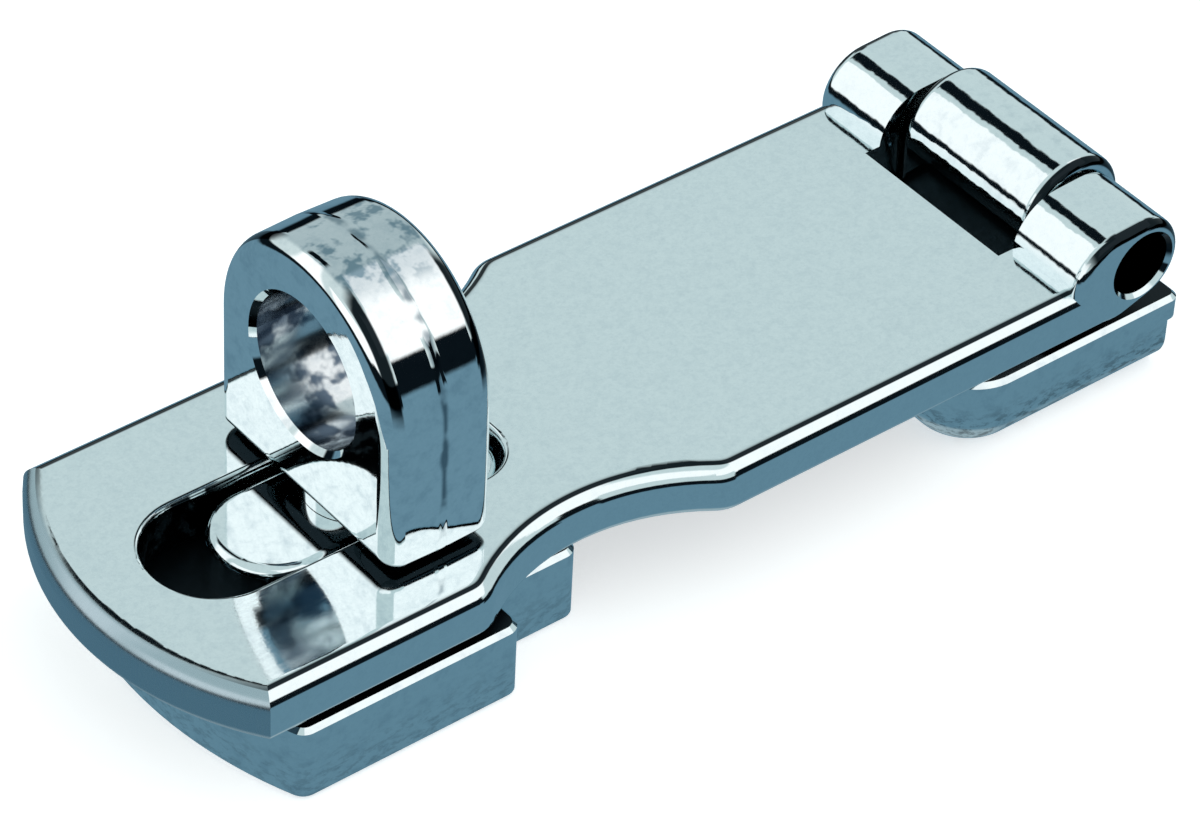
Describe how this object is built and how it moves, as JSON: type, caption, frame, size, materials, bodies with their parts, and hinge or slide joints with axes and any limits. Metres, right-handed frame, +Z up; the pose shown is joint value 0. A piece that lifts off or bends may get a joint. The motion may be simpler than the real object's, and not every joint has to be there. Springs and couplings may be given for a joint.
{
  "type": "swivel-eye hasp and staple",
  "caption": "Chromed hasp with a waisted slotted strap, a barrel hinge on a short screw-down leaf, and a staple base whose swivel eye turns across the slot to take a padlock.",
  "frame": {"origin": "middle of the overall length and width on the mounting face, under the object", "axes": "+X along the strap from its free end towards the hinge, +Y across the strap, +Z up out of the mounting face"},
  "size_m": [0.0854, 0.0286, 0.0316],
  "materials": {
    "chrome_strap": "bright chrome plate on cast brass, faint fine grain on the flat top",
    "chrome_leaf": "bright chrome plate on cast brass",
    "chrome_base": "bright chrome plate on cast brass",
    "chrome_eye": "mirror-bright chrome plate on a casting with a faint parting seam",
    "pin_steel": "drawn stainless steel",
    "spring_steel": "stainless spring steel",
    "washer_brass": "plain turned brass"
  },
  "bodies": {
    "leaf": {"hinge_leaf": "chrome_leaf", "hinge_pin": "pin_steel"},
    "strap": {"hasp_strap": "chrome_strap", "staple_base": "chrome_base"},
    "eye": {"swivel_eye": "chrome_eye", "spring_washer": "spring_steel", "flat_washer": "washer_brass", "retaining_ring": "spring_steel"}
  },
  "joints": [
    {"name": "strap_swing", "type": "hinge", "parent": "leaf", "child": "strap", "pos_m": [0.03815, 0, 0.0109], "axis": [0, 1, 0], "range_deg": [0, 170]},
    {"name": "eye_swivel", "type": "hinge", "parent": "strap", "child": "eye", "pos_m": [-0.02075, 0, 0.0109], "axis": [0, 0, 1], "continuous": true}
  ]
}
